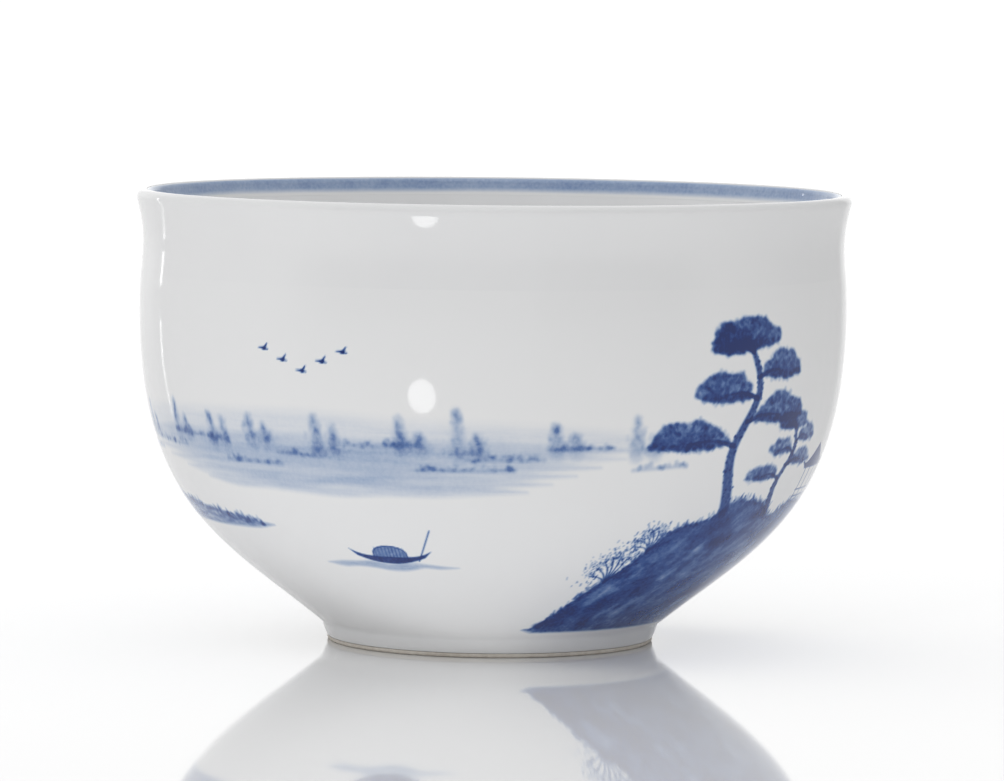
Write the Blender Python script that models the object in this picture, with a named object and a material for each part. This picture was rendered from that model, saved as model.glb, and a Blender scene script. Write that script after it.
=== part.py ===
"""A handleless porcelain teacup on a low foot ring, built from the layers it is made of.

Units are metres, +Z is up, and the origin is the centre of the foot on the table.
Every piece is turned about Z. The cup's two finished surfaces are drawn first, as half
outlines in the XZ plane. The clay body, the foot ring, the coats of glaze and the blue
band below the lip are then laid out inwards from them, by depth below the surface.
"""

import math

import bmesh
import bpy
import numpy as np

# Driving dimensions of the finished cup.
RIM_RADIUS = 0.0400
HEIGHT = 0.0504
LIP_RADIUS = 0.0008  # the lip is a half round of this radius
LIP_CREST_DEGREES = 120  # how far round the lip the outer glaze runs before the inner one
BELLY_RADIUS = 0.03955
BELLY_HEIGHT = 0.0377
INNER_BELLY_RADIUS = 0.0376
INNER_BELLY_HEIGHT = 0.0370
INNER_FLOOR_HEIGHT = 0.0056
BOWL_START_RADIUS = 0.0189  # where the bowl springs from the foot
BOWL_START_HEIGHT = 0.0021

# The pulls of the four cubic curves between those sizes, as (radius, height).
OUTER_BOWL_PULL = (0.0298, 0.0110)  # how full the bowl is above the foot
OUTER_BELLY_PULL = (BELLY_RADIUS, 0.0148)
OUTER_NECK_PULL = (BELLY_RADIUS, 0.0435)
OUTER_FLARE_PULL = (0.0386, 0.0443)  # how far the neck draws in below the flared lip
INNER_FLARE_PULL = (0.0375, 0.0465)
INNER_NECK_PULL = (INNER_BELLY_RADIUS, 0.0425)
INNER_BELLY_PULL = (INNER_BELLY_RADIUS, 0.0190)
INNER_FLOOR_PULL = (0.0300, INNER_FLOOR_HEIGHT)  # how flat the floor is

# The foot ring: a flat bare edge, rounded on both sides, with glaze above it.
FOOT_CONTACT_OUTER = 0.0177
FOOT_CONTACT_INNER = 0.0164
FOOT_OUTER_RADIUS = 0.01825
FOOT_TOP_RADIUS = 0.01865
FOOT_TOP_HEIGHT = 0.0014
FOOT_INNER_RADIUS = 0.0161
WELL_RADIUS = 0.0157
WELL_FILLET = 0.0006
EDGE_ROUNDING = 0.0003
BARE_HEIGHT = 0.00045  # the glaze stops this far above the table

# The coats. Neighbouring pieces keep LAYER_GAP between them.
GLAZE = 0.00025
LAYER_GAP = 0.00005
COAT = GLAZE + LAYER_GAP
BAND_THICKNESS = 0.00010
BAND_TOP = HEIGHT - 0.00035
BAND_BOTTOM = HEIGHT - 0.00190

SEGMENTS = 72  # sides of every turned piece, so that facing layers match
BOWL_STEPS = 10  # rows of facets up the bowl
WALL_STEPS = 5  # and between the belly and the lip
LIP_STEPS = 4
WELD = 1e-6
SHARP_ANGLE = math.radians(30)


def bezier(start, pull_start, pull_end, end, steps):
    """Points of a cubic curve in the XZ plane, with its start left out."""
    t = np.linspace(0, 1, steps + 1)[1:, None]
    start, pull_start, pull_end, end = map(np.array, (start, pull_start, pull_end, end))
    return (
        (1 - t) ** 3 * start
        + 3 * t * (1 - t) ** 2 * pull_start
        + 3 * t**2 * (1 - t) * pull_end
        + t**3 * end
    )


def arc(centre, radius, first_degrees, last_degrees, steps):
    """Points of a round corner in the XZ plane, both ends included."""
    angles = np.radians(np.linspace(first_degrees, last_degrees, steps + 1))
    return np.array(centre) + radius * np.column_stack([np.cos(angles), np.sin(angles)])


def lip_arc(first_degrees, last_degrees, steps):
    """Part of the half-round lip: 0 degrees is its outer side and 180 its inner side."""
    centre = (RIM_RADIUS - LIP_RADIUS, HEIGHT - LIP_RADIUS)
    return arc(centre, LIP_RADIUS, first_degrees, last_degrees, steps)


def outer_surface():
    """The glazed outside: up from the bare foot edge, and over the crest of the lip."""
    foot = [
        (FOOT_OUTER_RADIUS, BARE_HEIGHT + LAYER_GAP),
        (FOOT_TOP_RADIUS, FOOT_TOP_HEIGHT),
        (BOWL_START_RADIUS, BOWL_START_HEIGHT),
    ]
    belly = (BELLY_RADIUS, BELLY_HEIGHT)
    bowl = bezier(foot[-1], OUTER_BOWL_PULL, OUTER_BELLY_PULL, belly, BOWL_STEPS)
    lip = lip_arc(0, LIP_CREST_DEGREES, LIP_STEPS)
    wall = bezier(belly, OUTER_NECK_PULL, OUTER_FLARE_PULL, lip[0], WALL_STEPS)
    return np.concatenate([foot, bowl, wall, lip[1:]])


def inner_surface():
    """The glazed inside: from the crest of the lip down to the middle of the floor."""
    gap_degrees = math.degrees(LAYER_GAP / LIP_RADIUS)
    lip = lip_arc(LIP_CREST_DEGREES + gap_degrees, 180, LIP_STEPS - 1)
    belly = (INNER_BELLY_RADIUS, INNER_BELLY_HEIGHT)
    wall = bezier(lip[-1], INNER_FLARE_PULL, INNER_NECK_PULL, belly, WALL_STEPS)
    wall = with_band_edges(np.concatenate([lip, wall]))
    floor_centre = (0, INNER_FLOOR_HEIGHT)
    bowl = bezier(belly, INNER_BELLY_PULL, INNER_FLOOR_PULL, floor_centre, BOWL_STEPS)
    return np.concatenate([wall, bowl])


def with_band_edges(wall):
    """The wall's points, from the top down, with one added at each edge of the blue band."""
    edges = np.array([BAND_TOP, BAND_BOTTOM])
    radii = np.interp(edges, wall[::-1, 1], wall[::-1, 0])
    wall = np.concatenate([wall, np.column_stack([radii, edges])])
    return wall[np.argsort(-wall[:, 1])]


def well_surface():
    """The glazed underside: out from the middle, and down the inner face of the foot ring."""
    ceiling = foot_joint()[1] - GLAZE
    corner = (WELL_RADIUS - WELL_FILLET, ceiling - WELL_FILLET)
    fillet = arc(corner, WELL_FILLET, 90, 0, LIP_STEPS - 1)
    glaze_line = (FOOT_INNER_RADIUS, BARE_HEIGHT + LAYER_GAP)
    return np.concatenate([[(0, ceiling)], fillet, [glaze_line]])


def below(surface, depth):
    """The surface moved by depth into the clay, which lies on the left of its direction."""
    steps = np.linalg.norm(np.diff(surface, axis=0), axis=1)
    length = np.concatenate([[0], np.cumsum(steps)])
    along = np.gradient(surface, length, axis=0, edge_order=2)
    along /= np.linalg.norm(along, axis=1)[:, None]
    moved = surface + depth * np.column_stack([-along[:, 1], along[:, 0]])
    # A surface that reaches the axis ends on it.
    moved[surface[:, 0] < WELD, 0] = 0
    return moved


def foot_clay():
    """The foot ring's outside under its glaze, from the glaze line up to where the bowl starts."""
    return below(outer_surface(), COAT)[:3]


def foot_joint():
    """Where the clay of the bowl meets the clay of the foot ring, under the outer glaze."""
    return foot_clay()[-1]


def coat(surface):
    """The closed outline of one coat of glaze."""
    return np.concatenate([surface, below(surface, GLAZE)[::-1]])


def band_rows():
    """The rows of the inner surface that the painted band covers."""
    heights = inner_surface()[:, 1]
    return np.flatnonzero((heights < BAND_TOP + WELD) & (heights > BAND_BOTTOM - WELD))


def bowl_outline():
    """Wall and floor of fired clay, with a shallow seat for the painted band."""
    joint_radius, joint_height = foot_joint()
    underside = joint_height + LAYER_GAP
    outside = below(outer_surface(), COAT)
    outside = outside[outside[:, 1] > underside]
    inside = below(inner_surface(), COAT)
    rows = band_rows()
    seat = below(inner_surface(), COAT + BAND_THICKNESS + LAYER_GAP)[rows]
    inside = np.concatenate([inside[: rows[0]], seat, inside[rows[-1] + 1 :]])
    return np.concatenate([[(0, underside), (joint_radius, underside)], outside, inside])


def foot_outline():
    """The foot ring: bare and full width at the table, and under glaze above that."""
    outside = foot_clay()
    inside_radius = WELL_RADIUS + COAT
    outer_edge = (FOOT_OUTER_RADIUS, EDGE_ROUNDING)
    inner_edge = (FOOT_INNER_RADIUS, EDGE_ROUNDING)
    bare = [
        inner_edge,
        (FOOT_CONTACT_INNER, 0),
        (FOOT_CONTACT_OUTER, 0),
        outer_edge,
        (FOOT_OUTER_RADIUS, BARE_HEIGHT),
        (outside[0, 0], BARE_HEIGHT),
    ]
    under_glaze = [
        *outside,
        (inside_radius, outside[-1, 1]),
        (FOOT_INNER_RADIUS + COAT, BARE_HEIGHT),
        (FOOT_INNER_RADIUS, BARE_HEIGHT),
    ]
    return np.array([*bare, *under_glaze])


def band_outline():
    """The thin ring of fired cobalt between the clay and the inner glaze."""
    front = below(inner_surface(), COAT)[band_rows()]
    back = below(inner_surface(), COAT + BAND_THICKNESS)[band_rows()]
    return np.concatenate([front, back[::-1]])


def material(name, colour, roughness):
    """A Principled material of one colour."""
    made = bpy.data.materials.new(name)
    made.use_nodes = True
    shader = made.node_tree.nodes["Principled BSDF"]
    shader.inputs["Base Color"].default_value = (*colour, 1)
    shader.inputs["Roughness"].default_value = roughness
    shader.inputs["Metallic"].default_value = 0
    made.diffuse_color = (*colour, 1)
    return made


def turned(name, outline, finish):
    """One solid: the outline spun about Z. Points on the axis close it there."""
    mesh = bpy.data.meshes.new(name)
    form = bmesh.new()
    points = [form.verts.new((x, 0, z)) for x, z in outline]
    pairs = zip(points, points[1:] + points[:1])
    edges = [form.edges.new(pair) for pair in pairs if max(p.co.x for p in pair) > WELD]
    bmesh.ops.spin(
        form,
        geom=points + edges,
        axis=(0, 0, 1),
        cent=(0, 0, 0),
        angle=2 * math.pi,
        steps=SEGMENTS,
    )
    bmesh.ops.remove_doubles(form, verts=form.verts, dist=WELD)
    bmesh.ops.recalc_face_normals(form, faces=form.faces)
    form.to_mesh(mesh)
    form.free()
    mesh.materials.append(finish)
    mesh.shade_smooth()
    mesh.set_sharp_from_angle(angle=SHARP_ANGLE)
    piece = bpy.data.objects.new(name, mesh)
    bpy.context.scene.collection.objects.link(piece)
    return piece


def clear_scene():
    for old in list(bpy.data.objects):
        bpy.data.objects.remove(old, do_unlink=True)


def build_cup():
    clay = material("fired_porcelain", (0.86, 0.85, 0.82), 0.55)
    bare_clay = material("bare_foot_edge", (0.66, 0.60, 0.53), 0.85)
    glaze = material("clear_white_glaze", (0.87, 0.88, 0.88), 0.08)
    cobalt = material("underglaze_cobalt", (0.20, 0.30, 0.52), 0.12)
    turned("porcelain_bowl", bowl_outline(), clay)
    turned("foot_ring", foot_outline(), bare_clay)
    turned("outer_glaze", coat(outer_surface()), glaze)
    turned("inner_glaze", coat(inner_surface()), glaze)
    turned("foot_well_glaze", coat(well_surface()), glaze)
    turned("rim_band", band_outline(), cobalt)


clear_scene()
build_cup()
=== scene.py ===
"""A white porcelain teacup with a landscape brushed in cobalt blue under its glaze.

The cup's skins are turned again here, finer than the CAD, from the same curves. The
painting lies on sheets that hug the outside. It is built up from strokes and washes
placed by degrees round the cup (0 faces -Y, positive towards +X) and by millimetres
above the table. The picture is made of stock river-landscape motifs, laid out from
formulas and a few chosen sizes. Each sheet stores the pigment at its points, and one
shared material turns pigment into colour.
"""

import math

import bpy
import numpy as np
from mathutils import Matrix, Vector


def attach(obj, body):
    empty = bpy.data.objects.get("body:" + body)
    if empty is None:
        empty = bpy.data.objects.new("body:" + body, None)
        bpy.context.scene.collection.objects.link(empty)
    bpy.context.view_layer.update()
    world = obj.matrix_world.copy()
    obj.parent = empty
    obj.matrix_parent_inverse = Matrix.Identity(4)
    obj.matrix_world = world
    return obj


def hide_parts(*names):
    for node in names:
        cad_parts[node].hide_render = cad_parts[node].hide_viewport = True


MM = 0.001

# The cup's surfaces, in millimetres, as (radius, height). They repeat the CAD's curves.
RIM_RADIUS = 40.0
HEIGHT = 50.4
LIP_RADIUS = 0.8
LIP_CREST_DEGREES = 120
BELLY = (39.55, 37.7)
INNER_BELLY = (37.6, 37.0)
INNER_FLOOR_HEIGHT = 5.6
FOOT_TOP = (18.65, 1.4)
BOWL_START = (18.9, 2.1)
OUTER_PULLS = ((29.8, 11.0), (39.55, 14.8), (39.55, 43.5), (38.6, 44.3))
INNER_PULLS = ((37.5, 46.5), (37.6, 42.5), (37.6, 19.0), (30.0, 5.6))
FOOT_RADII = (16.1, 18.25)
EDGE_ROUNDING = 0.3
BARE_HEIGHT = 0.45
WELL_RADIUS = 15.7
WELL_FILLET = 0.6
WELL_CEILING = 1.85
GLAZE = 0.25
LAYER_GAP = 0.05
BAND_TOP = HEIGHT - 0.05
BAND_BOTTOM = HEIGHT - 1.6

SEGMENTS = 360
SHARP_DEGREES = 40
PAINT_RAISE = 0.02  # how far the painted sheets stand off the wall
PAINT_TOP = 41.5
PAINT_BOTTOM = 2.4
ON_AXIS = 1e-6  # a smaller radius counts as the cup's axis
BRIM_TURNS, BRIM_ROWS = 1080, 26  # points round and down the painted band
BRIM_ABOVE, BRIM_BELOW = 0.25, 0.6  # how far its strip runs past the band
UPPER_WALL = 60  # points of the inner profile that reach well below the band
TABLE_HALF = 3.0  # metres
TABLE_DROP = 0.00002  # metres, so that the foot and the table don't share a plane

# The camera stands in front, a little above the lip.
CAMERA_PLACE = (0.000518, -0.63721, 0.076285)
CAMERA_LENS, CAMERA_SENSOR = 204.4, 36.0
CAMERA_PITCH, CAMERA_ROLL = 4.337, 0.606  # degrees
CAMERA_YAW = 0.0009  # radians

# The picture's own layout, in degrees round the cup and millimetres above the table.
ROCK_LEFT, ROCK_RIGHT = 10.0, 132.0
ROCK_FOOT, ROCK_TOP = 3.4, 17.0
BANK_LEFT, BANK_RIGHT = -98.0, -44.0
BANK_HEIGHT, BANK_THICKNESS = 17.4, 3.4
TREE_SPREAD = 2.2  # degrees, at a far tree's foot
HILL_FOOT = 23.4


# ---------------------------------------------------------------- shapes of the cup


def bezier(start, pull_start, pull_end, end, steps):
    t = np.linspace(0, 1, steps + 1)[:, None]
    start, pull_start, pull_end, end = map(np.array, (start, pull_start, pull_end, end))
    return (
        (1 - t) ** 3 * start
        + 3 * t * (1 - t) ** 2 * pull_start
        + 3 * t**2 * (1 - t) * pull_end
        + t**3 * end
    )


def arc(centre, radius, first_degrees, last_degrees, steps):
    angles = np.radians(np.linspace(first_degrees, last_degrees, steps + 1))
    return np.array(centre) + radius * np.column_stack([np.cos(angles), np.sin(angles)])


def joined(*parts):
    """One outline from parts that share their end points."""
    return np.concatenate([parts[0], *(p[1:] for p in parts[1:])])


def lip_arc(first_degrees, last_degrees, steps):
    centre = (RIM_RADIUS - LIP_RADIUS, HEIGHT - LIP_RADIUS)
    return arc(centre, LIP_RADIUS, first_degrees, last_degrees, steps)


def outer_wall():
    """From the top of the foot up to the flared lip."""
    bowl = bezier(BOWL_START, OUTER_PULLS[0], OUTER_PULLS[1], BELLY, 60)
    flare = bezier(BELLY, OUTER_PULLS[2], OUTER_PULLS[3], lip_arc(0, 1, 1)[0], 30)
    return joined(bowl, flare)


def outer_surface():
    """The glazed outside, from the bare foot edge over the crest of the lip."""
    glaze_line = (FOOT_RADII[1], BARE_HEIGHT + LAYER_GAP)
    foot = bezier(glaze_line, (18.45, 0.75), FOOT_TOP, BOWL_START, 8)
    return joined(foot, outer_wall(), lip_arc(0, LIP_CREST_DEGREES, 12))


def inner_surface():
    """The glazed inside, from the crest of the lip to the middle of the floor."""
    gap_degrees = math.degrees(LAYER_GAP / LIP_RADIUS)
    lip = lip_arc(LIP_CREST_DEGREES + gap_degrees, 180, 8)
    wall = bezier(lip[-1], INNER_PULLS[0], INNER_PULLS[1], INNER_BELLY, 30)
    bowl = bezier(INNER_BELLY, INNER_PULLS[2], INNER_PULLS[3], (0, INNER_FLOOR_HEIGHT), 60)
    return joined(lip, wall, bowl)


def well_surface():
    """The glazed underside, from the middle out and down the inside of the foot."""
    corner = (WELL_RADIUS - WELL_FILLET, WELL_CEILING - WELL_FILLET)
    rows = np.linspace((0, WELL_CEILING), (corner[0], WELL_CEILING), 12)
    edge = np.array([(FOOT_RADII[0], BARE_HEIGHT + LAYER_GAP)])
    return np.concatenate([rows[:-1], arc(corner, WELL_FILLET, 90, 0, 8), edge])


def bare_edge():
    """The outline of the unglazed foot edge, rounded where it meets the table."""
    inner = arc((FOOT_RADII[0] + EDGE_ROUNDING, EDGE_ROUNDING), EDGE_ROUNDING, 180, 270, 6)
    outer = arc((FOOT_RADII[1] - EDGE_ROUNDING, EDGE_ROUNDING), EDGE_ROUNDING, 270, 360, 6)
    back = [(FOOT_RADII[1], BARE_HEIGHT), (FOOT_RADII[0], BARE_HEIGHT)]
    return np.concatenate([inner, outer, back])


def normals_of(surface):
    """Unit normals of a profile whose body lies on its left."""
    steps = np.linalg.norm(np.diff(surface, axis=0), axis=1)
    length = np.concatenate([[0], np.cumsum(steps)])
    along = np.gradient(surface, length, axis=0, edge_order=2)
    along /= np.linalg.norm(along, axis=1)[:, None]
    return np.column_stack([along[:, 1], -along[:, 0]])


def coat(surface):
    """The closed outline of a coat of glaze that lies under the surface."""
    back = surface - GLAZE * normals_of(surface)
    back[surface[:, 0] < ON_AXIS, 0] = 0
    return np.concatenate([surface, back[::-1]])


def mesh_object(name, points, faces, finish):
    mesh = bpy.data.meshes.new(name)
    mesh.from_pydata((np.asarray(points) * MM).tolist(), [], faces)
    mesh.materials.append(finish)
    mesh.shade_smooth()
    made = bpy.data.objects.new(name, mesh)
    bpy.context.scene.collection.objects.link(made)
    return made


def grid_faces(rows, columns, wrap):
    """Quads between neighbouring rows and columns, closed round the cup if wrap is set."""
    starts = np.arange(rows * columns).reshape(rows, columns)
    right = np.roll(starts, -1, axis=1)
    if not wrap:
        starts, right = starts[:, :-1], right[:, :-1]
    quads = [starts[:-1], right[:-1], right[1:], starts[1:]]
    return np.stack(quads, axis=-1).reshape(-1, 4)


def turned(name, outline, finish):
    """A closed ring or bowl: the outline turned about Z."""
    angles = np.linspace(0, 2 * math.pi, SEGMENTS, endpoint=False)
    outline = np.array([*outline, outline[0]])
    runs = [(outline[i], outline[i + 1]) for i in range(len(outline) - 1)]
    points, rings, faces = [], {}, []

    def ring(point):
        key = tuple(np.round(point, 6))
        if key not in rings:
            start = len(points)
            if point[0] < ON_AXIS:
                points.append((0, 0, point[1]))
                rings[key] = [start] * SEGMENTS
            else:
                points.extend(
                    (point[0] * math.sin(a), -point[0] * math.cos(a), point[1]) for a in angles
                )
                rings[key] = list(range(start, start + SEGMENTS))
        return rings[key]

    for low, high in runs:
        if low[0] < ON_AXIS and high[0] < ON_AXIS:
            continue
        a, b = ring(low), ring(high)
        for i in range(SEGMENTS):
            j = (i + 1) % SEGMENTS
            corners = [a[i], a[j], b[j], b[i]]
            faces.append(list(dict.fromkeys(corners)))
    made = mesh_object(name, points, faces, finish)
    made.data.set_sharp_from_angle(angle=math.radians(SHARP_DEGREES))
    return made


# ---------------------------------------------------------------- brushes


def smooth(x):
    x = np.clip(x, 0, 1)
    return x * x * (3 - 2 * x)


def noise(across, up, size, seed):
    """Smooth random values from 0 to 1, changing over about size millimetres."""
    lattice = np.random.default_rng(seed).random((128, 128))
    a, b = across / size, up / size
    i, j = np.floor(a).astype(int), np.floor(b).astype(int)
    fa, fb = smooth(a - i), smooth(b - j)
    i0, i1, j0, j1 = i % 128, (i + 1) % 128, j % 128, (j + 1) % 128
    low = lattice[i0, j0] * (1 - fa) + lattice[i1, j0] * fa
    high = lattice[i0, j1] * (1 - fa) + lattice[i1, j1] * fa
    return low * (1 - fb) + high * fb


def mottle(across, up, size, seed):
    """Noise with finer noise on top of it."""
    broad = noise(across, up, size, seed)
    fine = noise(across, up, size * 0.43, seed + 1)
    finest = noise(across, up, size * 0.19, seed + 2)
    return 0.5 * broad + 0.3 * fine + 0.2 * finest


def streaks(across, up, length, width, slope_degrees, seed):
    """Noise drawn out along a direction, as bristles leave it."""
    c, s = math.cos(math.radians(slope_degrees)), math.sin(math.radians(slope_degrees))
    along, over = across * c + up * s, up * c - across * s
    return mottle(along * width / length, over, width, seed)


WALL = outer_wall()
WALL_LENGTH = np.concatenate([[0], np.cumsum(np.linalg.norm(np.diff(WALL, axis=0), axis=1))])
WALL_NORMALS = normals_of(WALL)
ROUND = math.radians(1) * BELLY[0]  # millimetres for one degree round the belly


def length_at(height):
    """How far up the wall's own curve a height above the table is."""
    return np.interp(height, WALL[:, 1], WALL_LENGTH)


def radius_at(length):
    return np.interp(length, WALL_LENGTH, WALL[:, 0])


class Sheet:
    """A part of the outside, with a grid of points and the pigment at each."""

    def __init__(self, name, left, right, spacing):
        self.name = name
        self.left, self.right = left, right
        across = math.radians(right - left) * BELLY[0]
        columns = int(across / spacing) + 2
        bottom, top = length_at(PAINT_BOTTOM), length_at(PAINT_TOP)
        rows = int((top - bottom) / spacing) + 2
        self.degrees = np.linspace(left, right, columns)
        self.length = np.linspace(bottom, top, rows)
        self.radius = radius_at(self.length)
        self.ink = np.zeros((rows, columns))

    def window(self, points, reach):
        """The rows and columns within reach of some (degrees, length) points."""
        low, high = points.min(axis=0), points.max(axis=0)
        narrow = radius_at(max(low[1] - reach, self.length[0]))
        spread = math.degrees(reach / narrow)
        rows = np.searchsorted(self.length, [low[1] - reach, high[1] + reach])
        columns = np.searchsorted(self.degrees, [low[0] - spread, high[0] + spread])
        return slice(*rows), slice(*columns)

    def local(self, rows, columns, centre_degrees):
        """Millimetres across the wall from a meridian, and along the wall's curve."""
        turn = np.radians(self.degrees[columns] - centre_degrees)
        across = self.radius[rows, None] * turn
        return across, np.broadcast_to(self.length[rows, None], across.shape)

    def texture_place(self, rows, columns, turn):
        turns = (self.degrees[columns] - turn) * ROUND
        across = np.broadcast_to(turns, self.ink[rows, columns].shape)
        return across, np.broadcast_to(self.length[rows, None], across.shape)

    def whole_turn(self, points):
        """The whole turns, in degrees, that bring the points round to this sheet."""
        middle = (self.left + self.right) / 2
        return 360 * round((middle - points[:, 0].mean()) / 360)

    def add(self, rows, columns, cover):
        self.ink[rows, columns] = 1 - (1 - self.ink[rows, columns]) * (1 - cover)

    def lift(self, rows, columns, cover):
        self.ink[rows, columns] *= 1 - cover


class Painting:
    """All sheets round the cup, painted together so that strokes cross their edges."""

    def __init__(self, sheets):
        self.sheets = sheets

    def stroke(self, places, width, ink, soft=0.12, end_width=None, lift=False):
        """A brush stroke through (degrees, height) places, tapering to end_width."""
        places = np.array(places, float)
        if len(places) == 1:
            places = np.array([places[0], places[0] + (0.01, 0.01)])
        points = np.column_stack([places[:, 0], length_at(places[:, 1])])
        end_width = width if end_width is None else end_width
        widths = np.linspace(width, end_width, len(points))
        reach = max(width, end_width) / 2 + soft
        laid = points
        for sheet in self.sheets:
            points = laid + (sheet.whole_turn(laid), 0)
            rows, columns = sheet.window(points, reach)
            if rows.start >= rows.stop or columns.start >= columns.stop:
                continue
            centre = points[:, 0].mean()
            across, up = sheet.local(rows, columns, centre)
            flat = np.radians(points[:, 0] - centre) * radius_at(points[:, 1])
            cover = np.zeros(across.shape)
            for k in range(len(points) - 1):
                run = flat[k + 1] - flat[k], points[k + 1, 1] - points[k, 1]
                size = max(run[0] ** 2 + run[1] ** 2, 1e-9)
                t = (across - flat[k]) * run[0] + (up - points[k, 1]) * run[1]
                t = np.clip(t / size, 0, 1)
                away = np.hypot(across - flat[k] - t * run[0], up - points[k, 1] - t * run[1])
                half = (widths[k] + (widths[k + 1] - widths[k]) * t) / 2
                cover = np.maximum(cover, smooth((half + soft - away) / (2 * soft)))
            if lift:
                sheet.lift(rows, columns, ink * cover)
            else:
                sheet.add(rows, columns, ink * cover)

    def wash(self, outline, ink, soft=0.3, grain=None):
        """A filled shape with soft edges; grain(across, up) varies its strength."""
        outline = np.array(outline, float)
        laid = np.column_stack([outline[:, 0], length_at(outline[:, 1])])
        for sheet in self.sheets:
            turn = sheet.whole_turn(laid)
            points = laid + (turn, 0)
            rows, columns = sheet.window(points, soft)
            if rows.start >= rows.stop or columns.start >= columns.stop:
                continue
            centre = points[:, 0].mean()
            across, up = sheet.local(rows, columns, centre)
            flat = np.radians(points[:, 0] - centre) * radius_at(points[:, 1])
            inside = np.zeros(across.shape, bool)
            away = np.full(across.shape, 1e9)
            for k in range(len(points)):
                x0, y0 = flat[k], points[k, 1]
                x1, y1 = flat[(k + 1) % len(flat)], points[(k + 1) % len(flat), 1]
                size = max((x1 - x0) ** 2 + (y1 - y0) ** 2, 1e-9)
                t = np.clip(((across - x0) * (x1 - x0) + (up - y0) * (y1 - y0)) / size, 0, 1)
                away = np.minimum(
                    away, np.hypot(across - x0 - t * (x1 - x0), up - y0 - t * (y1 - y0))
                )
                if y0 != y1:
                    crossing = x0 + (up - y0) * (x1 - x0) / (y1 - y0)
                    inside ^= ((y0 > up) != (y1 > up)) & (across < crossing)
            signed = np.where(inside, away, -away)
            cover = ink * smooth((signed + soft) / (2 * soft))
            if grain:
                cover = cover * grain(*sheet.texture_place(rows, columns, turn))
            sheet.add(rows, columns, np.clip(cover, 0, 0.995))


def spline_span(a, b, c, d, t):
    """A smooth run from b to c, whose neighbours are a and d."""
    return 0.5 * (
        2 * b
        + (c - a) * t
        + (2 * a - 5 * b + 4 * c - d) * t**2
        + (3 * b - a - 3 * c + d) * t**3
    )


def curve_through(places, steps=6):
    """A smooth curve through a few places."""
    p = np.array(places, float)
    p = np.concatenate([[2 * p[0] - p[1]], p, [2 * p[-1] - p[-2]]])
    t = np.linspace(0, 1, steps, endpoint=False)[:, None]
    spans = [spline_span(*four, t) for four in zip(p, p[1:], p[2:], p[3:])]
    return np.concatenate([*spans, p[-2:-1]])


def closed_curve(places, steps=5):
    """A smooth closed outline through a few places."""
    p = np.array(places, float)
    t = np.linspace(0, 1, steps, endpoint=False)[:, None]
    rolled = zip(np.roll(p, 1, axis=0), p, np.roll(p, -1, axis=0), np.roll(p, -2, axis=0))
    return np.concatenate([spline_span(*four, t) for four in rolled])


# ---------------------------------------------------------------- the landscape


def haze(painting, left, right, height, thickness, ink, seed, soft=0.35):
    """A pale flat wash of water or mist with wavering, streaked edges."""
    rng = np.random.default_rng(seed)
    turns = np.linspace(left, right, 9)
    bulge = np.sin(np.linspace(0, math.pi, 9)) ** 0.6
    sway = rng.normal(0, 0.18, (2, 9))
    top = np.column_stack([turns, height + thickness / 2 * bulge + sway[0] * bulge])
    low = np.column_stack([turns, height - thickness / 2 * bulge + sway[1] * bulge])
    outline = np.concatenate([curve_through(top, 4), curve_through(low, 4)[::-1]])

    def grain(across, up):
        return 0.45 + 0.75 * streaks(across, up, 9.0, 0.5, 0, seed)

    painting.wash(outline, ink, soft, grain)


def dotted_bank(painting, left, right, height, ink, seed, drift=0.0):
    """A far bank: a row of short dark dabs along a thin wet line."""
    rng = np.random.default_rng(seed)
    painting.stroke([(left, height), (right, height + drift)], 0.34, ink * 0.34, 0.34)
    for _ in range(int((right - left) * 1.9)):
        place = rng.random()
        turn = left + (right - left) * place
        level = height + drift * place + rng.normal(0.12, 0.16)
        width = rng.uniform(0.18, 0.42)
        lean = rng.uniform(-0.5, 0.5)
        rise = rng.uniform(-0.03, 0.24)
        strength = ink * rng.uniform(0.15, 0.52)
        painting.stroke([(turn, level), (turn + lean, level + rise)], width, strength, 0.30)


def misty_tree(painting, turn, foot, top, ink, seed):
    """A slim far tree: a faint stem with dabs of leaf, wider towards the ground."""
    rng = np.random.default_rng(seed)
    painting.stroke([(turn, foot), (turn - 0.5, top)], 1.5, ink * 0.36, 0.7, 0.5)
    for _ in range(60):
        place = rng.random() ** 1.25
        level = foot + (top - foot) * place
        reach = TREE_SPREAD * (1 - 0.70 * place)
        spot = (turn - 0.5 * place + rng.normal(0, reach * 0.5), level)
        tip = (spot[0] + rng.normal(0, 0.2), level + rng.uniform(0.1, 0.5))
        painting.stroke([spot, tip], rng.uniform(0.15, 0.4), ink * rng.uniform(0.05, 0.28), 0.32)


def far_shore(painting):
    """Mist, water and wooded banks across the river, set out in even steps with some drift."""
    rng = np.random.default_rng(11)
    haze(painting, -90, 30, 25.4, 4.4, 0.08, 12, soft=1.1)
    for k in range(6):
        haze(painting, -92 + 7 * k, 26 - 4 * k, 24.4 - 0.9 * k, 1.8, 0.15, 13 + k, soft=0.5)
    for k in range(10):
        left = -86 + 12 * k + rng.uniform(-3, 3)
        height = 22.2 + 1.2 * (k % 3)
        drift = rng.uniform(-0.4, 0.4)
        dotted_bank(painting, left, left + rng.uniform(9, 16), height, 0.52, 300 + k, drift)
    for k in range(9):
        turn = -78 + 12.5 * k + rng.uniform(-3, 3)
        foot = 23.8 + 0.5 * (k % 2)
        misty_tree(painting, turn, foot, foot + rng.uniform(2.6, 4.8), 0.46, 320 + k)
        misty_tree(painting, turn + 3.2, foot, foot + rng.uniform(1.6, 2.8), 0.36, 340 + k)


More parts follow.
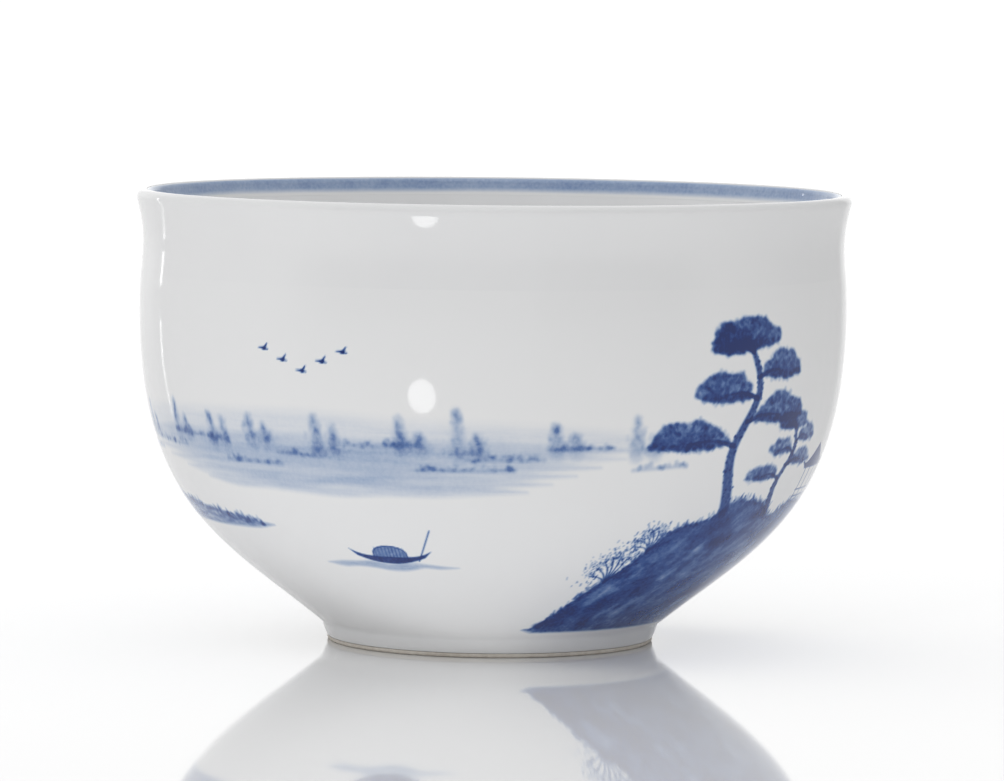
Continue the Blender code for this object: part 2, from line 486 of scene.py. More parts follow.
def near_bank(painting):
    """A low grassy bank that runs in from the left and tapers off into the water."""
    along = np.linspace(0, 1, 13)
    turns = BANK_LEFT + (BANK_RIGHT - BANK_LEFT) * along
    upper = BANK_HEIGHT - 2.4 * along**1.4
    lower = upper - BANK_THICKNESS * (1 - along) ** 0.6
    outline = np.concatenate([np.column_stack([turns, upper]), np.column_stack([turns, lower])[::-1]])

    def grain(across, up):
        return 0.30 + 0.60 * streaks(across, up, 6.0, 0.6, -4, 31) + 0.40 * mottle(across, up, 1.6, 33)

    painting.wash(outline, 0.52, 0.30, grain)
    rng = np.random.default_rng(32)
    for _ in range(170):
        place = rng.uniform(0, 0.95)
        turn = np.interp(place, along, turns)
        level = np.interp(place, along, upper) + rng.normal(-0.1, 0.2)
        tip = (turn + rng.normal(0, 0.35), level + rng.uniform(0.0, 0.5))
        painting.stroke([(turn, level), tip], rng.uniform(0.25, 0.6), rng.uniform(0.08, 0.40), 0.24, 0.2)
    for _ in range(90):
        place = rng.uniform(0, 0.85)
        turn = np.interp(place, along, turns)
        low, high = np.interp(place, along, lower), np.interp(place, along, upper)
        level = rng.uniform(low + 0.3, high)
        wide = rng.uniform(0.5, 1.6)
        painting.stroke([(turn - wide, level), (turn + wide, level)], 0.3, rng.uniform(0.08, 0.32), 0.20)


def rock_top(turn):
    """The rock's upper edge, by degrees round: a shoulder, an uneven top and a long tail."""
    shape = smooth((turn - ROCK_LEFT) / 34) * smooth((ROCK_RIGHT - turn) / 56)
    bumps = noise(turn / 7.0, turn * 0.0, 1.0, 80) - 0.5
    return ROCK_FOOT + (ROCK_TOP - ROCK_FOOT + 2.6 * bumps) * shape


def bird(painting, turn, height, size):
    """Two raised wings and a body, in three flicks of the brush."""
    middle = (turn, height)
    painting.stroke(
        [(turn - 1.5 * size, height + 0.10 * size), middle], 0.10, 0.75, 0.10, 0.42 * size
    )
    painting.stroke(
        [middle, (turn + 0.7 * size, height + 0.75 * size)], 0.46 * size, 0.85, 0.10, 0.10
    )
    painting.stroke(
        [(turn - 0.4 * size, height), (turn + 0.9 * size, height - 0.12 * size)],
        0.36 * size, 0.85, 0.10, 0.12,
    )


def boat(painting, turn, height, length):
    """A river boat: a long hull with raised ends, an arched mat cabin and a slanting pole."""
    haze(painting, turn - 0.9 * length, turn + 0.8 * length, height - 1.1, 0.9, 0.30, 41)
    along = np.linspace(-1, 1, 15)
    deck = np.column_stack([turn + along * length / 2, height + 0.75 * along**4])
    keel = np.column_stack([turn + along * length * 0.42, height - 0.8 * (1 - along**2)])
    painting.wash(np.concatenate([deck, keel[::-1]]), 0.88, 0.12)
    angles = np.linspace(0, math.pi, 11)
    arch = np.column_stack(
        [turn + 0.21 * length * np.cos(angles), height + 1.25 * np.sin(angles) ** 0.7]
    )
    painting.wash(arch, 0.48, 0.13)
    painting.stroke(arch, 0.15, 0.72, 0.09)
    for step in np.linspace(-0.17, 0.17, 9):
        middle = turn + step * length
        painting.stroke([(middle, height), (middle, height + 1.05)], 0.10, 0.42, 0.08)
    pole = [(turn + 0.34 * length, height - 0.4), (turn + 0.52 * length, height + 3.2)]
    painting.stroke(pole, 0.14, 0.7, 0.1)


def pine_pad(painting, turn, height, half_width, thickness, ink, seed):
    """A flat cloud of pine needles: a bumpy dome, a mottled wash, dabs and short rays."""
    rng = np.random.default_rng(seed)
    angles = np.linspace(0, 2 * math.pi, 18, endpoint=False)
    bumps = rng.uniform(0.88, 1.12, len(angles))
    rise = np.where(np.sin(angles) > 0, thickness, 0.30 * thickness) * np.sin(angles)
    dome = np.column_stack([turn + half_width * np.cos(angles) * bumps, height + rise * bumps])
    outline = closed_curve(dome, 4)

    def grain(across, up):
        return 0.55 + 0.75 * mottle(across, up, 1.2, seed)

    painting.wash(outline, ink * 0.92, 0.26, grain)
    root = np.array((turn, height))
    for _ in range(int(26 * half_width * thickness)):
        rim = outline[rng.integers(len(outline))]
        depth = math.sqrt(rng.random())
        tip = root + (rim - root) * depth + rng.normal(0, 1, 2) * (0.22, 0.14)
        strength = ink * rng.uniform(0.08, 0.50) * (1.15 - 0.30 * depth)
        painting.stroke([tip], rng.uniform(0.25, 0.60), strength, 0.24)
        if rng.random() > 0.45:
            continue
        away = rim - root
        away = away / max(math.hypot(away[0] * ROUND, away[1]), 0.3) + rng.normal(0, 0.45, 2)
        start = tip - away * rng.uniform(0.20, 0.50)
        strength = ink * rng.uniform(0.15, 0.50) * (1.10 - 0.30 * depth)
        painting.stroke([start, tip], rng.uniform(0.14, 0.24), strength, 0.13, 0.12)


def trunk(painting, line, width, end_width, seed):
    """A rough dark trunk: a soft core, an uneven edge and dots of bark."""
    rng = np.random.default_rng(seed)
    painting.stroke(line, width, 0.70, 0.24, end_width)
    widths = np.linspace(width, end_width, len(line))
    for _ in range(5 * len(line)):
        k = rng.integers(len(line))
        side = rng.choice((-1, 1)) * widths[k] * rng.uniform(0.15, 0.62)
        spot = line[k] + (side / ROUND, rng.normal(0, 0.25))
        painting.stroke([spot], rng.uniform(0.14, 0.32), rng.uniform(0.3, 0.75), 0.1)


def pine(painting, turn, top, size, width, ink, seed):
    """A pine that leans and bends back, with flat pads to either side, smaller higher up."""
    foot = float(rock_top(np.array(turn))) - 0.6
    tall = top - foot
    bends = ((0.0, 0.0), (-0.35, 0.35), (0.15, 0.70), (-0.20, 1.0))
    line = curve_through([(turn + size * x, foot + tall * up) for x, up in bends], 8)
    trunk(painting, line, width, 0.4 * width, seed)
    for k in range(5):
        stem = line[int((0.36 + 0.13 * k) * len(line))]
        reach = size * (1.10 - 0.13 * k) * (1 if k % 2 else -1)
        middle = (stem[0] + 0.5 * reach, stem[1] + 0.7)
        pad = (stem[0] + reach, stem[1] + 0.5)
        painting.stroke(curve_through([stem, middle, pad], 5), 0.4 * width, 0.8, 0.12, 0.15)
        pine_pad(painting, *pad, 0.80 * abs(reach), 0.13 * tall, ink, seed + 1 + k)
    pine_pad(painting, line[-1, 0], top - 0.3, 0.85 * size, 0.15 * tall, ink, seed + 9)


def shelter(painting, turn, width, height):
    """A small open shelter on the rock: a curved roof on four posts, with a low rail."""
    ground = float(rock_top(np.array(turn)))
    eave = ground + 0.60 * height
    along = np.linspace(-1, 1, 17)
    rise = 0.40 * height * (1 - np.abs(along)) ** 1.3 + 0.12 * height * along**6
    roof = np.column_stack([turn + width / 2 * along, eave + rise])
    underside = [(turn + 0.40 * width, eave), (turn - 0.40 * width, eave)]
    painting.wash(np.concatenate([roof, underside]), 0.78, 0.14)
    painting.stroke(roof, 0.18, 0.78, 0.09)
    for step in (-0.32, -0.12, 0.12, 0.32):
        post = turn + step * width
        painting.stroke([(post, ground - 0.8), (post, eave)], 0.16, 0.68, 0.09)
    for rail in (0.10, 0.22):
        level = ground + rail * height
        ends = [(turn - 0.36 * width, level), (turn + 0.36 * width, level)]
        painting.stroke(ends, 0.15, 0.70, 0.08)


def cliff(painting):
    """The near rock, laid in with a wet dark brush and worked over with drier strokes."""
    turns = np.linspace(ROCK_LEFT, ROCK_RIGHT, 70)
    ridge = np.column_stack([turns, rock_top(turns)])
    base = [(ROCK_RIGHT - 3, ROCK_FOOT - 0.4), (ROCK_LEFT + 3, ROCK_FOOT - 0.4)]

    def grain(across, up):
        slope = streaks(across, up, 3.2, 1.3, 48, 81)
        fade = 1 - 0.24 * smooth((across - 24) / 26)
        return (0.46 + 0.36 * slope + 0.36 * mottle(across, up, 2.2, 83)) * fade

    painting.wash(np.concatenate([ridge, base]), 0.88, 0.32, grain)
    haze(painting, ROCK_RIGHT - 12, ROCK_RIGHT + 34, ROCK_FOOT + 1.0, 0.9, 0.24, 90)
    rng = np.random.default_rng(85)
    for _ in range(420):
        turn = rng.uniform(ROCK_LEFT + 4, ROCK_RIGHT - 6)
        top = rock_top(turn)
        level = rng.uniform(ROCK_FOOT + 0.3, max(top, ROCK_FOOT + 0.6))
        run = rng.uniform(0.5, 3.0)
        end = (turn + run, min(level + rng.uniform(-0.3, 2.0), rock_top(turn + run) - 0.2))
        painting.stroke([(turn, level), end], rng.uniform(0.3, 1.3), rng.uniform(0.10, 0.40), 0.35, 0.25)
    for _ in range(190):
        turn = rng.uniform(ROCK_LEFT + 12, ROCK_RIGHT - 8)
        top = rock_top(turn)
        level = ROCK_FOOT + (top - ROCK_FOOT) * rng.uniform(0.05, 0.80)
        run = rng.uniform(0.6, 3.6)
        end = (turn + run, min(level + rng.uniform(-0.6, 2.4), rock_top(turn + run) - 0.4))
        width, pale = rng.uniform(0.3, 1.5), rng.uniform(0.05, 0.20)
        painting.stroke([(turn, level), end], width, pale, 0.55, 0.3, lift=True)
    for _ in range(16):
        turn = rng.uniform(ROCK_LEFT + 10, ROCK_RIGHT - 20)
        level = ROCK_FOOT + (rock_top(turn) - ROCK_FOOT) * rng.uniform(0.2, 0.85)
        patch = [(turn - 1.3, level - 0.3), (turn + 1.4, level + 0.4)]
        painting.stroke(patch, 2.0, rng.uniform(0.3, 0.7), 1.0)
    for turn in np.arange(ROCK_LEFT + 6, ROCK_RIGHT - 6, 0.34):
        level = rock_top(turn) + rng.normal(-0.1, 0.25)
        tip = (turn + rng.normal(0, 0.3), level + rng.uniform(0.1, 0.7))
        painting.stroke([(turn, level), tip], rng.uniform(0.2, 0.5), rng.uniform(0.2, 0.6), 0.18, 0.12)


def bush(painting, turn, spread, ink, seed):
    """A thin bush on the rock: a fan of twigs, with leaves dabbed round their tips."""
    rng = np.random.default_rng(seed)
    root = (turn, float(rock_top(np.array(turn))) - 0.2)
    for angle in np.radians(np.linspace(40, 165, 7)):
        away = np.array((math.cos(angle) / ROUND, math.sin(angle))) * spread
        tip = root + away
        middle = root + 0.5 * away + (0.4, 0.2)
        painting.stroke(curve_through([root, middle, tip], 5), 0.24, ink * 0.9, 0.12, 0.10)
        for _ in range(40):
            spot = tip + rng.normal(0, 1, 2) * (0.42 * spread, 0.20 * spread)
            lean = rng.normal(0, 0.12, 2) + (0, 0.12)
            painting.stroke([spot, spot + lean], rng.uniform(0.10, 0.20), ink * rng.uniform(0.2, 0.7), 0.12)


def back_hills(painting):
    """Pale hills behind the cup, over the same river, so that the scene runs all the way round."""
    ranges = (
        ((118, 24), (126, 27), (136, 31.5), (143, 33.5), (150, 30.5), (160, 27.2), (170, 25.2), 0.26, 120),
        ((150, 24), (160, 28.5), (169, 31.2), (177, 28.8), (188, 29.6), (198, 26.4), (212, 24.4), 0.20, 121),
        ((196, 24), (206, 26.2), (217, 29.4), (226, 27.8), (238, 28.6), (250, 26.0), (264, 24.4), 0.16, 122),
    )
    for *crest, ink, seed in ranges:
        top = curve_through(crest, 6)
        base = [(crest[-1][0], HILL_FOOT), (crest[0][0], HILL_FOOT)]
        outline = np.concatenate([top, base])

        def grain(across, up, seed=seed):
            fade = smooth((up - length_at(HILL_FOOT)) / 7.0)
            return (0.25 + 0.85 * fade) * (0.55 + 0.7 * streaks(across, up, 4.0, 1.1, -62, seed))

        painting.wash(outline, ink, 0.4, grain)
        painting.stroke(top, 0.35, ink, 0.3)


def back_shore(painting):
    """The river, banks, an island with reeds, and a sailing boat on the far side of the cup."""
    haze(painting, 112, 200, 23.2, 2.4, 0.20, 131)
    haze(painting, 170, 276, 23.6, 2.6, 0.20, 132)
    haze(painting, 128, 232, 20.9, 1.6, 0.18, 133)
    haze(painting, 214, 278, 21.0, 2.0, 0.16, 134)
    for left, right, height, ink, drift in (
        (116, 140, 24.0, 0.46, -0.3), (144, 166, 23.3, 0.50, 0.3), (170, 192, 24.2, 0.44, 0.0),
        (186, 214, 22.6, 0.48, 0.4), (216, 240, 24.0, 0.42, -0.3), (236, 262, 22.8, 0.46, 0.3),
        (130, 152, 21.6, 0.40, 0.2), (250, 272, 24.2, 0.36, 0.2),
    ):
        dotted_bank(painting, left, right, height, ink, int(400 + left), drift)
    for turn, foot, top, ink in (
        (120, 24.2, 28.6, 0.44), (123.5, 24.2, 27.2, 0.34), (168, 24.0, 28.6, 0.40), (171, 24.0, 27.0, 0.34),
        (205, 23.6, 28.0, 0.42), (209, 23.6, 27.0, 0.34), (243, 24.0, 28.4, 0.40), (247, 24.0, 27.2, 0.30),
        (262, 24.4, 27.8, 0.36),
    ):
        misty_tree(painting, turn, foot, top, ink, int(500 + turn))
    island = closed_curve(
        [
            (166, 12.2), (172, 13.6), (180, 14.5), (188, 14.2),
            (197, 13.2), (206, 12.0), (196, 11.4), (180, 11.2),
        ]
    )
    painting.wash(island, 0.62, 0.3, lambda a, u: 0.45 + 0.9 * streaks(a, u, 5.0, 0.6, 6, 141))
    rng = np.random.default_rng(142)
    for _ in range(150):
        turn = rng.normal(184, 7)
        base = np.interp(turn, (166, 180, 188, 206), (12.2, 14.2, 14.0, 12.0)) + rng.normal(0, 0.2)
        tip = (turn + rng.normal(0.5, 0.6), base + rng.uniform(0.6, 2.6))
        painting.stroke([(turn, base), tip], 0.22, rng.uniform(0.25, 0.7), 0.1, 0.08)
    haze(painting, 158, 214, 10.9, 1.0, 0.26, 143)
    hull = closed_curve([(224, 15.9), (230, 15.3), (238, 15.4), (243, 16.2), (238, 14.7), (229, 14.6)])
    painting.wash(hull, 0.85, 0.14)
    sail = [(230.4, 16.0), (231.2, 20.6), (236.6, 19.6), (238.0, 16.0)]
    painting.wash(sail, 0.34, 0.18, lambda a, u: 0.5 + 0.7 * streaks(a, u, 3.0, 0.35, 0, 145))
    for step in range(5):
        level = 16.1 + step
        painting.stroke([(230.5 + 0.15 * step, level), (237.9 - 0.3 * step, level - 0.05)], 0.12, 0.6, 0.08)
    painting.stroke([(231.0, 15.2), (231.3, 21.2)], 0.2, 0.8, 0.1, 0.12)
    haze(painting, 216, 252, 14.1, 1.0, 0.26, 146)
    for turn, height, size in (
        (150, 36.0, 0.8), (154, 35.0, 0.7), (157, 36.2, 0.6),
        (198, 35.4, 0.8), (232, 33.6, 0.8), (236, 34.4, 0.6),
    ):
        bird(painting, turn, height, size)
    for turn, height in ((130, 10.5), (138, 9.9), (252, 11.0), (262, 10.2)):
        painting.stroke([(turn, height), (turn + 4, height + 0.1)], 0.3, 0.25, 0.2)


def painted_landscape():
    """The sheets, with the whole landscape on them."""
    fine, plain, coarse = (0.12, 0.16, 0.19)
    painting = Painting(
        [
            Sheet("painting_cliff_and_pavilion", -10, 42, fine),
            Sheet("painting_pine", 42, 94, fine),
            Sheet("painting_river_and_boat", -80, -10, plain),
            Sheet("painting_hills", 94, 182, coarse),
            Sheet("painting_sailing_boat", 182, 280, coarse),
        ]
    )
    far_shore(painting)
    near_bank(painting)
    boat(painting, -20, 12.2, 17)
    back_hills(painting)
    back_shore(painting)
    for k in range(5):
        bird(painting, -38 + 3.6 * k, 32.4 + 1.1 * abs(k - 2), 0.75)
    cliff(painting)
    bush(painting, 26, 3.2, 0.74, 91)
    bush(painting, 32, 2.4, 0.66, 92)
    bush(painting, 84, 2.6, 0.66, 93)
    shelter(painting, 74, 13, 6.4)
    pine(painting, 46, 36.0, 8.6, 1.5, 0.60, 50)
    pine(painting, 60, 26.5, 5.2, 1.0, 0.46, 70)
    return painting


def painted_sheet(sheet, finish):
    """The sheet's mesh, a hair proud of the wall, its upper and lower borders tucked under."""
    rows, columns = sheet.ink.shape
    lift = np.full(rows, PAINT_RAISE)
    lift[[0, -1]] = -PAINT_RAISE
    normal = np.column_stack(
        [np.interp(sheet.length, WALL_LENGTH, WALL_NORMALS[:, k]) for k in (0, 1)]
    )
    normal /= np.linalg.norm(normal, axis=1)[:, None]
    height = np.interp(sheet.length, WALL_LENGTH, WALL[:, 1])
    radius = sheet.radius + lift * normal[:, 0]
    height = height + lift * normal[:, 1]
    turns = np.radians(sheet.degrees)
    points = np.stack(
        [
            radius[:, None] * np.sin(turns),
            -radius[:, None] * np.cos(turns),
            np.broadcast_to(height[:, None], (rows, columns)),
        ],
        axis=-1,
    ).reshape(-1, 3)
    normals = np.stack(
        [
            normal[:, :1] * np.sin(turns),
            -normal[:, :1] * np.cos(turns),
            np.broadcast_to(normal[:, 1:], (rows, columns)),
        ],
        axis=-1,
    ).reshape(-1, 3)
    faces = grid_faces(rows, columns, wrap=False).tolist()
    made = mesh_object(sheet.name, points, faces, finish)
    ink = made.data.attributes.new("pigment", "FLOAT", "POINT")
    ink.data.foreach_set("value", sheet.ink.astype(np.float32).ravel())
    made.data.normals_split_custom_set_from_vertices(normals.tolist())
    return made


def rim_band(finish):
    """The soft blue line inside the lip, on a strip a hair proud of the inner wall."""
    profile = inner_surface()
    steps = np.linalg.norm(np.diff(profile, axis=0), axis=1)
    length = np.concatenate([[0], np.cumsum(steps)])
    normal = normals_of(profile)
    upper = profile[:UPPER_WALL]
    first = np.interp(-(BAND_TOP + BRIM_ABOVE), -upper[:, 1], length[:UPPER_WALL])
    last = np.interp(-(BAND_BOTTOM - BRIM_BELOW), -upper[:, 1], length[:UPPER_WALL])
    rows = np.linspace(first, last, BRIM_ROWS)
    radius = np.interp(rows, length, profile[:, 0])
    height = np.interp(rows, length, profile[:, 1])
    lean = np.column_stack([np.interp(rows, length, normal[:, k]) for k in (0, 1)])
    lift = np.full(len(rows), PAINT_RAISE)
    lift[[0, -1]] = -PAINT_RAISE
    turns = np.linspace(0, 2 * math.pi, BRIM_TURNS, endpoint=False)
    r = (radius + lift * lean[:, 0])[:, None]
    z = (height + lift * lean[:, 1])[:, None]
    points = np.stack(
        [r * np.sin(turns), -r * np.cos(turns), np.broadcast_to(z, (len(rows), len(turns)))],
        axis=-1,
    ).reshape(-1, 3)
    faces = grid_faces(len(rows), len(turns), wrap=True)
    made = mesh_object("painted_rim_band", points, faces.tolist(), finish)
    across = np.broadcast_to(turns * RIM_RADIUS, (len(rows), len(turns)))
    level = np.broadcast_to(height[:, None], across.shape)
    sway = 0.10 * (noise(across, level * 0, 9.0, 201) - 0.5)
    edges = smooth((BAND_TOP + sway - level + 0.20) / 0.55)
    edges = edges * smooth((level - BAND_BOTTOM - sway + 0.35) / 0.8)
    body = 0.30 + 0.05 * noise(across, level, 9.0, 202) + 0.03 * streaks(across, level, 6, 0.3, 0, 203)
    ink = made.data.attributes.new("pigment", "FLOAT", "POINT")
    ink.data.foreach_set("value", (edges * body).astype(np.float32).ravel())
    return made


# ---------------------------------------------------------------- materials


def linear(red, green, blue):
    """A colour given as it looks on a screen, from 0 to 255, as the shader wants it."""
    parts = np.array([red, green, blue]) / 255
    low, high = parts / 12.92, ((parts + 0.055) / 1.055) ** 2.4
    return (*np.where(parts <= 0.04045, low, high).tolist(), 1)


DARKEST_INK = 0.92
GLAZE_IOR, TABLE_IOR = 1.5, 1.35
WHITE = (0.845, 0.848, 0.852, 1)
WHITE_SHADE = (0.825, 0.829, 0.836, 1)
COBALT = [
    (0.00, WHITE),
    (0.10, linear(208, 215, 226)),
    (0.28, linear(166, 183, 209)),
    (0.50, linear(92, 122, 174)),
    (0.70, linear(44, 78, 142)),
    (0.86, linear(22, 52, 120)),
    (1.00, linear(14, 28, 82)),
]


class Nodes:
    """A short way to add and join nodes in one tree."""

    def __init__(self, tree):
        self.tree = tree

    def add(self, kind, settings=None, **inputs):
        node = self.tree.nodes.new(kind)
        for key, value in (settings or {}).items():
            setattr(node, key, value)
        for key, value in inputs.items():
            socket = node.inputs[key.replace("_", " ")]
            if isinstance(value, bpy.types.NodeSocket):
                self.tree.links.new(value, socket)
            else:
                socket.default_value = value
        return node

    def math(self, operation, first, second):
        node = self.tree.nodes.new("ShaderNodeMath")
        node.operation = operation
        for socket, value in zip(node.inputs, (first, second)):
            if isinstance(value, bpy.types.NodeSocket):
                self.tree.links.new(value, socket)
            else:
                socket.default_value = value
        return node.outputs[0]

    def noise(self, place, scale, detail=3.0):
        settings = {"noise_dimensions": "3D"}
        return self.add(
            "ShaderNodeTexNoise", settings, Vector=place, Scale=scale, Detail=detail
        ).outputs["Fac"]

    def spread(self, value, low, high, new_low, new_high):
        node = self.tree.nodes.new("ShaderNodeMapRange")
        self.tree.links.new(value, node.inputs["Value"])
        keys = ("From Min", "From Max", "To Min", "To Max")
        for key, number in zip(keys, (low, high, new_low, new_high)):
            node.inputs[key].default_value = number
        return node.outputs["Result"]

    def ramp(self, value, stops):
        node = self.tree.nodes.new("ShaderNodeValToRGB")
        self.tree.links.new(value, node.inputs["Fac"])
        ramp = node.color_ramp
        ramp.elements[0].position = stops[0][0]
        ramp.elements[-1].position = stops[-1][0]
        for position, _ in stops[1:-1]:
            ramp.elements.new(position)
        for element, (_, colour) in zip(ramp.elements, stops):
            element.color = colour
        return node.outputs["Color"]


def blank_material(name):
    made = bpy.data.materials.new(name)
    made.use_nodes = True
    return made, Nodes(made.node_tree), made.node_tree.nodes["Principled BSDF"]


def glazed(name, stops=None):
    """Clear glaze over porcelain. With stops, the pigment under it is coloured by them."""
    made, nodes, shader = blank_material(name)
    place = nodes.add("ShaderNodeTexCoord").outputs["Object"]
    cloud = nodes.noise(place, 55.0, 4.0)
    if stops:
        pigment = nodes.add("ShaderNodeAttribute", {"attribute_name": "pigment"}).outputs["Fac"]
        speckle = nodes.spread(nodes.noise(place, 2600.0, 3.0), 0.3, 0.7, 0.90, 1.10)
        pooled = nodes.spread(nodes.noise(place, 420.0, 3.0), 0.3, 0.7, 0.92, 1.08)
        ink = nodes.math("MULTIPLY", nodes.math("MULTIPLY", pigment, speckle), pooled)
        ink = nodes.math("MINIMUM", ink, DARKEST_INK)
        colour = nodes.ramp(ink, stops)
    else:
        colour = nodes.ramp(cloud, [(0.3, WHITE_SHADE), (0.7, WHITE)])
    nodes.tree.links.new(colour, shader.inputs["Base Color"])
    gloss = nodes.spread(cloud, 0.3, 0.7, 0.045, 0.085)
    nodes.tree.links.new(gloss, shader.inputs["Roughness"])
    shader.inputs["IOR"].default_value = GLAZE_IOR
    ripple = nodes.noise(place, 210.0, 2.0)
    bump = nodes.add("ShaderNodeBump", None, Height=ripple, Strength=0.05, Distance=0.0002)
    nodes.tree.links.new(bump.outputs["Normal"], shader.inputs["Normal"])
    return made


def fired_clay(name, pale, dark, roughness):
    """Unglazed porcelain with a fine sandy grain."""
    made, nodes, shader = blank_material(name)
    place = nodes.add("ShaderNodeTexCoord").outputs["Object"]
    grain = nodes.noise(place, 1500.0, 5.0)
    stain = nodes.noise(place, 120.0, 3.0)
    mixed = nodes.math("ADD", nodes.math("MULTIPLY", grain, 0.5), nodes.math("MULTIPLY", stain, 0.5))
    colour = nodes.ramp(mixed, [(0.35, dark), (0.62, pale)])
    nodes.tree.links.new(colour, shader.inputs["Base Color"])
    rough = nodes.spread(grain, 0.3, 0.7, roughness - 0.08, roughness + 0.08)
    nodes.tree.links.new(rough, shader.inputs["Roughness"])
    bump = nodes.add("ShaderNodeBump", None, Height=grain, Strength=0.35, Distance=0.0001)
    nodes.tree.links.new(bump.outputs["Normal"], shader.inputs["Normal"])
    return made


def table_top():
    made, nodes, shader = blank_material("pale_glossy_table")
    place = nodes.add("ShaderNodeTexCoord").outputs["Object"]
    cloud = nodes.noise(place, 6.0, 2.0)
    colour = nodes.ramp(cloud, [(0.3, (0.90, 0.90, 0.905, 1)), (0.7, (0.92, 0.92, 0.92, 1))])
    nodes.tree.links.new(colour, shader.inputs["Base Color"])
    shader.inputs["Roughness"].default_value = 0.035
    shader.inputs["IOR"].default_value = TABLE_IOR
    return made


# ---------------------------------------------------------------- stage, light, camera


def floor():
    signs = ((-1, -1), (1, -1), (1, 1), (-1, 1))
    corners = [(x * TABLE_HALF, y * TABLE_HALF, -TABLE_DROP) for x, y in signs]
    mesh = bpy.data.meshes.new("table_top")
    mesh.from_pydata(corners, [], [(0, 1, 2, 3)])
    mesh.materials.append(table_top())
    made = bpy.data.objects.new("table_top", mesh)
    bpy.context.scene.collection.objects.link(made)


# How much each part of the surround is dimmed, and how bright the rest is.
FRONT_SHADE, RIGHT_SHADE, LEFT_SHADE = 0.62, 0.46, 0.28
DIFFUSE_SHARE = 0.72  # of that dimming, as it counts for diffuse light
SURROUND, SURROUND_BEHIND, DARKEST_SKY = 1.04, 1.24, 0.2
SEEN_SKY = 1.05  # what the camera sees


def studio_sky():
    """A white surround, dimmer in front and at the sides, and plain white for the camera.

    Directions are unit vectors: X to the right, Y away from the camera and Z up.
    """
    world = bpy.data.worlds.new("white_studio")
    bpy.context.scene.world = world
    world.use_nodes = True
    tree = world.node_tree
    tree.nodes.clear()
    nodes = Nodes(tree)
    direction = nodes.add("ShaderNodeTexCoord").outputs["Generated"]
    parts = nodes.add("ShaderNodeSeparateXYZ", None, Vector=direction).outputs
    front = nodes.spread(parts["Y"], -0.62, -0.30, 1.0, 0.0)
    low = nodes.spread(parts["Z"], 0.45, 0.75, 1.0, 0.0)
    dimmed = nodes.math("MULTIPLY", nodes.math("MULTIPLY", front, low), FRONT_SHADE)
    right = nodes.spread(parts["X"], 0.20, 0.42, 0.0, RIGHT_SHADE)
    right = nodes.math("MULTIPLY", right, nodes.spread(parts["Y"], 0.90, 0.95, 1.0, 0.0))
    left = nodes.spread(parts["X"], -0.60, -0.30, LEFT_SHADE, 0.0)
    left = nodes.math("MULTIPLY", left, nodes.spread(parts["Y"], 0.70, 0.86, 1.0, 0.0))
    shade = nodes.math("ADD", dimmed, nodes.math("ADD", left, right))
    rays = nodes.add("ShaderNodeLightPath").outputs
    softened = nodes.spread(rays["Is Diffuse Ray"], 0.0, 1.0, 1.0, DIFFUSE_SHARE)
    shade = nodes.math("MULTIPLY", shade, softened)
    behind = nodes.spread(parts["Y"], 0.955, 0.985, SURROUND, SURROUND_BEHIND)
    level = nodes.math("SUBTRACT", behind, shade)
    level = nodes.math("MAXIMUM", level, DARKEST_SKY)
    mix = nodes.add("ShaderNodeMix", {"data_type": "FLOAT"})
    tree.links.new(rays["Is Camera Ray"], mix.inputs[0])
    tree.links.new(level, mix.inputs[2])
    mix.inputs[3].default_value = SEEN_SKY
    background = nodes.add("ShaderNodeBackground", None, Color=(1, 1, 1, 1))
    tree.links.new(mix.outputs[0], background.inputs["Strength"])
    output = nodes.add("ShaderNodeOutputWorld")
    tree.links.new(background.outputs[0], output.inputs["Surface"])


def lamp(name, shape, target, azimuth, elevation, distance, size, size_y, watts):
    """A soft lamp facing its target from that side, hidden from the camera."""
    data = bpy.data.lights.new(name, "AREA")
    data.shape = shape
    data.size, data.size_y = size, size_y
    data.energy = watts
    made = bpy.data.objects.new(name, data)
    a, e = math.radians(azimuth), math.radians(elevation)
    back = Vector((math.sin(a) * math.cos(e), -math.cos(a) * math.cos(e), math.sin(e)))
    made.location = Vector(target) + back * distance
    made.rotation_mode = "QUATERNION"
    made.rotation_quaternion = back.to_track_quat("Z", "Y")
    made.visible_camera = False
    bpy.context.scene.collection.objects.link(made)
    return made


def lamps():
    """A soft key, a glow off the table, a small bulb that makes the glints, and a slim strip."""
    cup = (0, 0, 0.030)
    key = lamp(
        "round_key", "DISK", cup,
        azimuth=-23.3, elevation=19.5, distance=0.9, size=0.15, size_y=0.15, watts=0.74,
    )
    key.visible_glossy = False
    table = (0, -0.11, 0.030)
    glow = lamp(
        "table_glow", "RECTANGLE", table,
        azimuth=0, elevation=-90, distance=0.0297, size=0.32, size_y=0.18, watts=0.045,
    )
    glow.visible_glossy = False
    belly = (-0.0074, -0.0386, 0.030)
    bulb = lamp(
        "glint_bulb", "DISK", belly,
        azimuth=-23.1, elevation=-17.9, distance=0.070, size=0.014, size_y=0.014, watts=0.0024,
    )
    bulb.visible_diffuse = False
    lamp(
        "left_strip", "RECTANGLE", cup,
        azimuth=-134, elevation=4.5, distance=0.8, size=0.018, size_y=0.14, watts=0.028,
    )


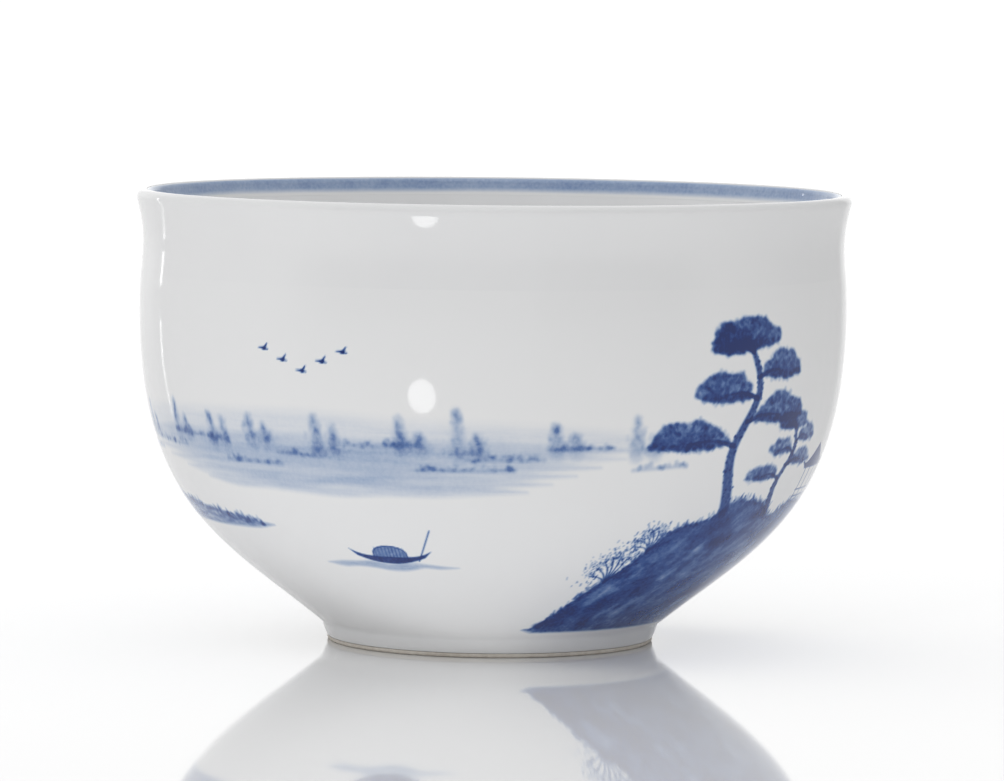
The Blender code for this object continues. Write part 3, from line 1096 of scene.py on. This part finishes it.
def camera():
    data = bpy.data.cameras.new("camera")
    data.sensor_width = CAMERA_SENSOR
    data.lens = CAMERA_LENS
    made = bpy.data.objects.new("camera", data)
    pitch, roll = math.radians(CAMERA_PITCH), math.radians(CAMERA_ROLL)
    turn = (
        Matrix.Rotation(-CAMERA_YAW, 4, "Z")
        @ Matrix.Rotation(math.pi / 2 - pitch, 4, "X")
        @ Matrix.Rotation(roll, 4, "Z")
    )
    made.matrix_world = Matrix.Translation(CAMERA_PLACE) @ turn
    bpy.context.scene.collection.objects.link(made)
    bpy.context.scene.camera = made


# ---------------------------------------------------------------- the cup


def place(piece, slot, *nodes):
    """The piece rides with the cup and stands for its CAD nodes, which are hidden. The slot is not used."""
    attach(piece, "root")
    if nodes:
        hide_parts(*nodes)


def build():
    porcelain = glazed("clear_glaze_on_porcelain")
    painted = glazed("cobalt_under_glaze", COBALT)
    biscuit = fired_clay(
        "bare_foot_edge", linear(228, 222, 212), linear(206, 198, 187), 0.80
    )
    body = fired_clay("fired_porcelain", (0.82, 0.81, 0.78, 1), (0.76, 0.75, 0.72, 1), 0.6)
    place(turned("cup_outside", coat(outer_surface()), porcelain), "painted_glaze", "outer_glaze")
    place(turned("cup_inside", coat(inner_surface()), porcelain), "white_glaze", "inner_glaze")
    place(turned("foot_well", coat(well_surface()), porcelain), "white_glaze", "foot_well_glaze")
    place(turned("bare_foot_ring", bare_edge(), biscuit), "bare_porcelain", "foot_ring")
    place(rim_band(painted), "cobalt_blue", "rim_band")
    for sheet in painted_landscape().sheets:
        place(painted_sheet(sheet, painted), "painted_glaze")
    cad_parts["porcelain_bowl"].material_slots[0].material = body


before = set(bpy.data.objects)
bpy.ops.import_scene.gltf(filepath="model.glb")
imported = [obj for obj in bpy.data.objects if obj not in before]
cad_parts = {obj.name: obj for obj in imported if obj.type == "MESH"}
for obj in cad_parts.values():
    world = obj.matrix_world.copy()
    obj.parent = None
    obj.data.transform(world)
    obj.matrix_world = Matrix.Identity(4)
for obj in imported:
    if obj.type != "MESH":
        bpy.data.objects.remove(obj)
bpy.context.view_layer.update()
bpy.context.scene.view_settings.view_transform = "Standard"
build()
floor()
studio_sky()
lamps()
camera()
